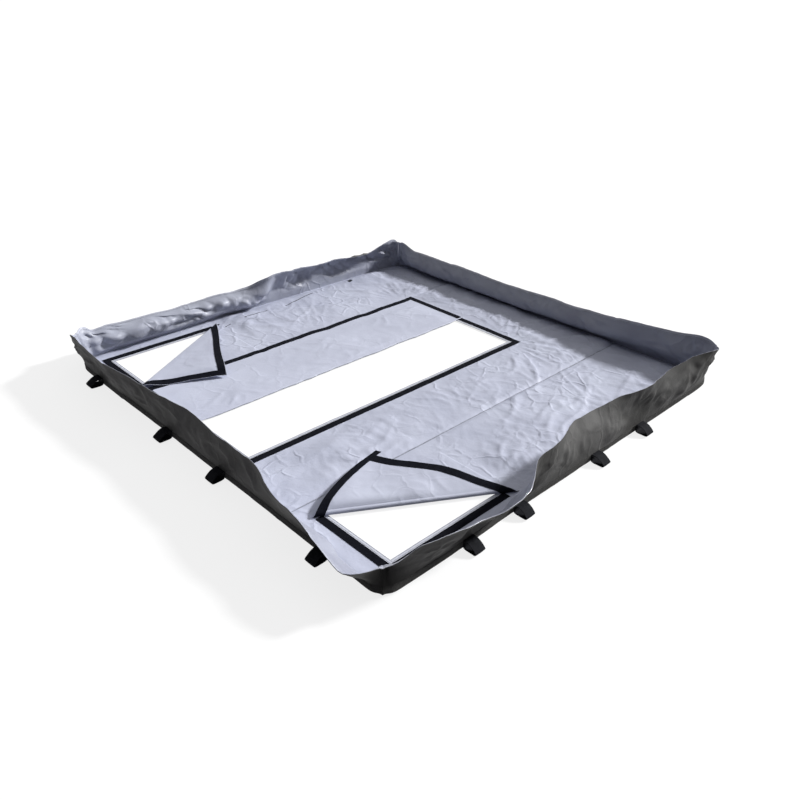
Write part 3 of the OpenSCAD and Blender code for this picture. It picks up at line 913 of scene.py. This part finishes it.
def webbing_loop(joint):
    """One loop of flat webbing, with its own slight skew, cup and reach."""
    node = joint["child"]
    side = node.split("_")[2]
    _, (ax, ay), (ox, oy) = SIDES[side]
    px, py, _ = joint["pos_m"]
    seed = sum(map(ord, node)) * 7
    run, profile = resample(loop_profile(seed), 60)
    width = 0.048
    across = np.linspace(-width / 2, width / 2, 7)
    rng = np.random.default_rng(seed + 1)
    skew, cup = rng.uniform(-0.05, 0.05), rng.uniform(0.0004, 0.0012)

    shift = [float(d) for d in drift(np.clip(px, -HALF, HALF), np.clip(py, -HALF, HALF))]

    def surface(u, v):
        out = np.interp(u, run, profile[:, 0])
        up = np.interp(u, run, profile[:, 1])
        crown = cup * (1 - (2 * v / width) ** 2)
        wave = 0.0008 * noise(u / 0.02, v / 0.03, seed) * smooth(out / 0.01)
        away = v + skew * out * 0.6
        x, y = px + shift[0] + ox * (out + crown) + ax * away, py + shift[1] + oy * (out + crown) + ay * away
        return np.stack([x, y, up + wave], axis=-1)

    piece = cloth(f"{node}_strap", surface, rectangle(run, across), [WEB], thickness=0.0019, along=0)
    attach(piece, node)
    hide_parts(node)


for joint in frame["joints"]:
    if joint["name"].startswith("webbing_loop"):
        webbing_loop(joint)


# ---------------------------------------------------------------- stage, light and camera

floor_nodes = Nodes("pale_floor")
floor_nodes.shader.inputs["Roughness"].default_value = 0.9
floor_nodes.shader.inputs["Specular IOR Level"].default_value = 0.1
speck = floor_nodes.noise(floor_nodes.add("TexCoord").outputs["Object"], 2.0)
pale = floor_nodes.ramp(speck, [(0.3, (0.20, 0.20, 0.20)), (0.7, (0.22, 0.22, 0.22))])
floor_nodes.set(floor_nodes.shader.inputs["Base Color"], pale)
mesh = bpy.data.meshes.new("studio_floor")
FAR, FLOOR_Z = 400, -0.002
mesh.from_pydata([(-FAR, -FAR, FLOOR_Z), (FAR, -FAR, FLOOR_Z), (FAR, FAR, FLOOR_Z), (-FAR, FAR, FLOOR_Z)],
                 [], [(0, 1, 2, 3)])
mesh.materials.append(floor_nodes.material)
floor = bpy.data.objects.new("studio_floor", mesh)
bpy.context.scene.collection.objects.link(floor)
# a photograph on white: the floor shows pale, and doesn't light the cover from below
floor.visible_diffuse = False
floor_nodes.shader.inputs["Emission Color"].default_value = (1, 1, 1, 1)
floor_nodes.shader.inputs["Emission Strength"].default_value = 0.80

# a pale dome far behind everything, seen only where a low view looks over the floor's end
backdrop_nodes = Nodes("pale_backdrop")
backdrop_nodes.shader.inputs["Base Color"].default_value = (0.5, 0.5, 0.5, 1)
backdrop_nodes.shader.inputs["Emission Color"].default_value = (1, 1, 1, 1)
backdrop_nodes.shader.inputs["Emission Strength"].default_value = 1.1
bpy.ops.mesh.primitive_uv_sphere_add(segments=48, ring_count=24, radius=90)
dome = bpy.context.object
dome.name = "studio_backdrop"
dome.data.materials.append(backdrop_nodes.material)
dome.visible_diffuse = dome.visible_glossy = dome.visible_transmission = dome.visible_shadow = False

world = bpy.data.worlds.new("studio")
bpy.context.scene.world = world
world.use_nodes = True
tree = world.node_tree
back = tree.nodes["Background"]
coord = tree.nodes.new("ShaderNodeTexCoord")
dot = tree.nodes.new("ShaderNodeVectorMath")
dot.operation = "DOT_PRODUCT"
dot.inputs[1].default_value = (0.55, 0.25, 0.80)
tree.links.new(coord.outputs["Generated"], dot.inputs[0])
ramp = tree.nodes.new("ShaderNodeValToRGB")
ramp.color_ramp.elements[0].position = 0.0
ramp.color_ramp.elements[0].color = (0.17, 0.17, 0.195, 1)
ramp.color_ramp.elements[1].position = 0.85
ramp.color_ramp.elements[1].color = (1.0, 1.0, 1.0, 1)
tree.links.new(dot.outputs["Value"], ramp.inputs["Fac"])
tree.links.new(ramp.outputs["Color"], back.inputs["Color"])
back.inputs["Strength"].default_value = 0.54

sun = bpy.data.objects.new("key_light", bpy.data.lights.new("key_light", "SUN"))
sun.data.energy = 5.0
sun.data.angle = math.radians(7)
sun.rotation_euler = Vector((0.76, -0.26, 0.475)).to_track_quat("Z", "Y").to_euler()
bpy.context.scene.collection.objects.link(sun)

# where the photo was taken from, by a calibration on the cover's four corners
CAMERA_AT = (-2.2335, -2.286, 1.654)
CAMERA_RIGHT, CAMERA_UP = Vector((0.71701, -0.69666, 0.02371)), Vector((0.32874, 0.36795, 0.86980))
CAMERA_LENS = 34.08
look = CAMERA_UP.cross(CAMERA_RIGHT)
turned = Matrix([(CAMERA_RIGHT[k], CAMERA_UP[k], -look[k]) for k in range(3)]).to_4x4()
camera = bpy.data.objects.new("camera", bpy.data.cameras.new("camera"))
camera.matrix_world = Matrix.Translation(CAMERA_AT) @ turned
camera.data.lens = CAMERA_LENS
camera.data.clip_end = 1000
bpy.context.scene.collection.objects.link(camera)
bpy.context.scene.camera = camera
bpy.context.scene.view_settings.view_transform = "Standard"
